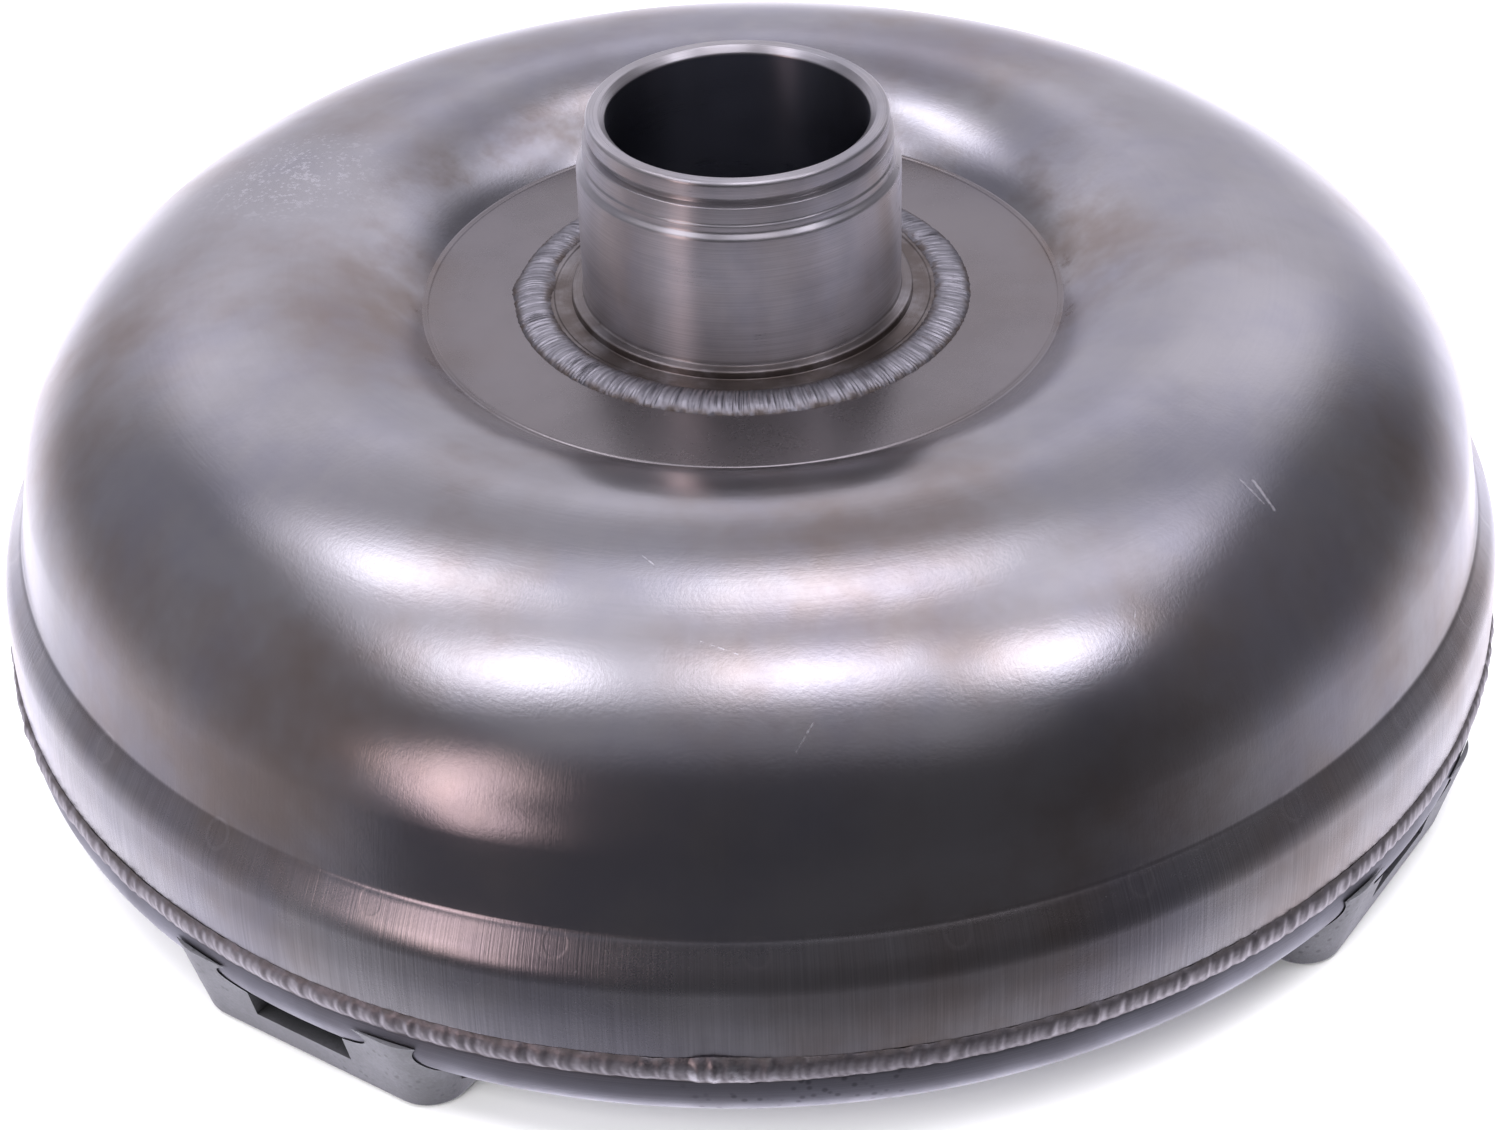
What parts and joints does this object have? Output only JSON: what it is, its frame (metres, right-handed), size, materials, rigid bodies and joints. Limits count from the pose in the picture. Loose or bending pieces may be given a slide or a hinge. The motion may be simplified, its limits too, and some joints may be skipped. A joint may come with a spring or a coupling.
{
  "type": "torque converter",
  "caption": "Welded off-highway torque converter: domed pump shell with a long hub, stepped seam, front cover with window lugs, turbine, stator and roller clutch inside.",
  "frame": {"origin": "on the shaft axis, in the plane of the four lug faces that bolt to the flexplate", "axes": "+Z along the shaft axis towards the pump hub; the lugs sit at -124.5, -34.5, 55.5 and 145.5 degrees from +X about +Z"},
  "size_m": [0.3176, 0.3176, 0.1339],
  "materials": {
    "shell_steel": "dark, heat-tinted pressed steel, polished on the dome",
    "hub_ground_steel": "fine turned and ground",
    "hub_weld": "rippled weld metal",
    "cover_steel": "dull machined steel",
    "seam_weld": "rippled weld metal with burnt edges",
    "lug_steel": "matt grey, fine grained",
    "lug_weld": "rough weld metal",
    "turned_steel": "turned steel, oiled",
    "inner_pressings": "oiled pressed steel",
    "stator_alloy": "as-cast aluminium",
    "bushing_alloy": "machined plate",
    "hardened_steel": "ground hardened steel",
    "spring_steel": "blued spring steel"
  },
  "bodies": {
    "housing": {"impeller_shell": "shell_steel", "impeller_blades": "inner_pressings", "impeller_core_ring": "inner_pressings", "pump_hub": "hub_ground_steel", "hub_weld_bead": "hub_weld", "front_cover": "cover_steel", "seam_weld_bead": "seam_weld", "crank_pilot": "turned_steel", "pilot_weld_bead": "lug_weld", "mounting_lug_1": "lug_steel", "mounting_lug_2": "lug_steel", "mounting_lug_3": "lug_steel", "mounting_lug_4": "lug_steel", "lug_weld_beads": "lug_weld", "lug_weld_nuts": "turned_steel", "cover_bearing_lower_washer": "hardened_steel", "pump_bearing_upper_washer": "hardened_steel"},
    "turbine": {"turbine_shell": "inner_pressings", "turbine_blades": "inner_pressings", "turbine_core_ring": "inner_pressings", "turbine_hub": "turned_steel", "turbine_rivets": "turned_steel", "cover_bearing_upper_washer": "hardened_steel", "middle_bearing_lower_washer": "hardened_steel"},
    "stator": {"stator_wheel": "stator_alloy", "clutch_cam_ring": "hardened_steel", "clutch_rollers": "hardened_steel", "clutch_springs": "spring_steel", "stator_plate_cover_side": "bushing_alloy", "stator_plate_pump_side": "bushing_alloy", "stator_snap_ring": "spring_steel", "middle_bearing_upper_washer": "hardened_steel", "pump_bearing_lower_washer": "hardened_steel"},
    "clutch_inner_race": {"clutch_inner_race": "hardened_steel"},
    "cover_bearing_cage": {"cover_bearing_cage": "spring_steel", "cover_bearing_needles": "hardened_steel"},
    "middle_bearing_cage": {"middle_bearing_cage": "spring_steel", "middle_bearing_needles": "hardened_steel"},
    "pump_bearing_cage": {"pump_bearing_cage": "spring_steel", "pump_bearing_needles": "hardened_steel"}
  },
  "joints": [
    {"name": "turbine_spin", "type": "hinge", "parent": "housing", "child": "turbine", "pos_m": [0, 0, 0.03], "axis": [0, 0, 1], "continuous": true},
    {"name": "stator_spin", "type": "hinge", "parent": "housing", "child": "stator", "pos_m": [0, 0, 0.059], "axis": [0, 0, 1], "continuous": true},
    {"name": "inner_race_spin", "type": "hinge", "parent": "housing", "child": "clutch_inner_race", "pos_m": [0, 0, 0.058], "axis": [0, 0, 1], "continuous": true},
    {"name": "cover_cage_spin", "type": "hinge", "parent": "housing", "child": "cover_bearing_cage", "pos_m": [0, 0, 0.017], "axis": [0, 0, 1], "continuous": true},
    {"name": "middle_cage_spin", "type": "hinge", "parent": "housing", "child": "middle_bearing_cage", "pos_m": [0, 0, 0.044], "axis": [0, 0, 1], "continuous": true},
    {"name": "pump_cage_spin", "type": "hinge", "parent": "housing", "child": "pump_bearing_cage", "pos_m": [0, 0, 0.0725], "axis": [0, 0, 1], "continuous": true}
  ],
  "couplings": [
    {"joint": "cover_cage_spin", "follows": "turbine_spin", "ratio": 0.5},
    {"joint": "middle_cage_spin", "follows": "turbine_spin", "ratio": 0.5},
    {"joint": "pump_cage_spin", "follows": "stator_spin", "ratio": 0.5}
  ]
}
